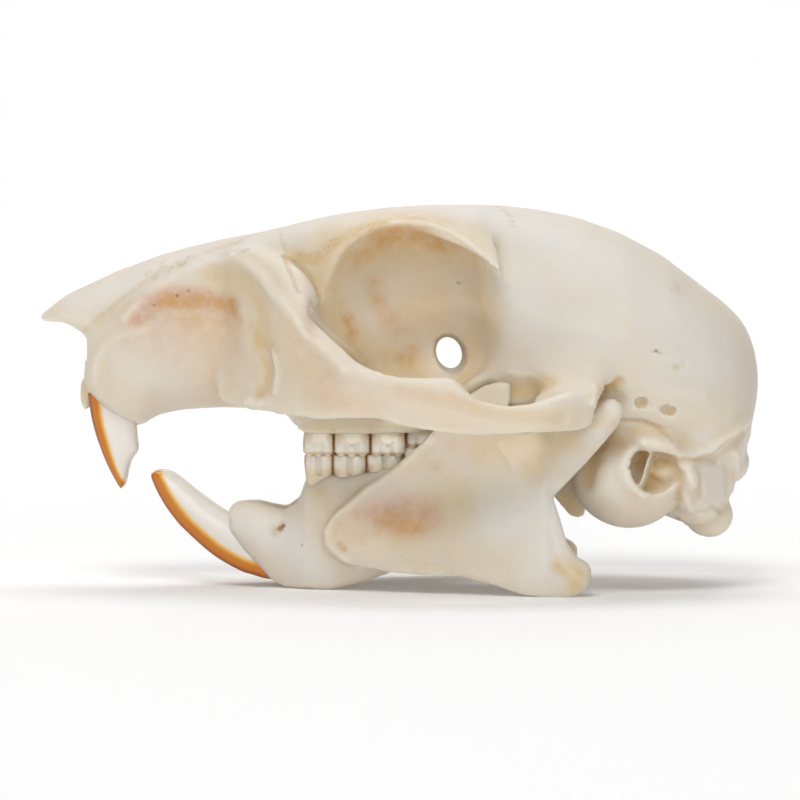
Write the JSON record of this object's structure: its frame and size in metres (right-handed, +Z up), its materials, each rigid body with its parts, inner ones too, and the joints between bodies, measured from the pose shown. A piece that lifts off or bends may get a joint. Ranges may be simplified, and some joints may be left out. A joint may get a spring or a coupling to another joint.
{
  "type": "fox squirrel skull",
  "caption": "Cleaned fox squirrel skull with its lower jaw and all its teeth in place, resting on the lower jaw in natural bite.",
  "frame": {"origin": "on the floor plane, below the middle of the skull's bounding box", "axes": "+X towards the back of the head, +Z up; the animal's left side faces -Y and its nose points to -X"},
  "size_m": [0.066, 0.0372, 0.0351],
  "materials": {
    "bone": "dry ivory bone, satin",
    "cheek_enamel": "pearly white tooth enamel",
    "incisor_enamel": "orange tooth enamel on the front face"
  },
  "bodies": {
    "root": {"cranium": "bone", "mandible_left": "bone", "mandible_right": "bone", "upper_premolar_left": "cheek_enamel", "upper_premolar_right": "cheek_enamel", "upper_molar_1_left": "cheek_enamel", "upper_molar_1_right": "cheek_enamel", "upper_molar_2_left": "cheek_enamel", "upper_molar_2_right": "cheek_enamel", "upper_molar_3_left": "cheek_enamel", "upper_molar_3_right": "cheek_enamel", "lower_premolar_left": "cheek_enamel", "lower_premolar_right": "cheek_enamel", "lower_molar_1_left": "cheek_enamel", "lower_molar_1_right": "cheek_enamel", "lower_molar_2_left": "cheek_enamel", "lower_molar_2_right": "cheek_enamel", "lower_molar_3_left": "cheek_enamel", "lower_molar_3_right": "cheek_enamel", "upper_incisor_left": "incisor_enamel", "upper_incisor_right": "incisor_enamel", "lower_incisor_left": "incisor_enamel", "lower_incisor_right": "incisor_enamel"}
  },
  "joints": []
}
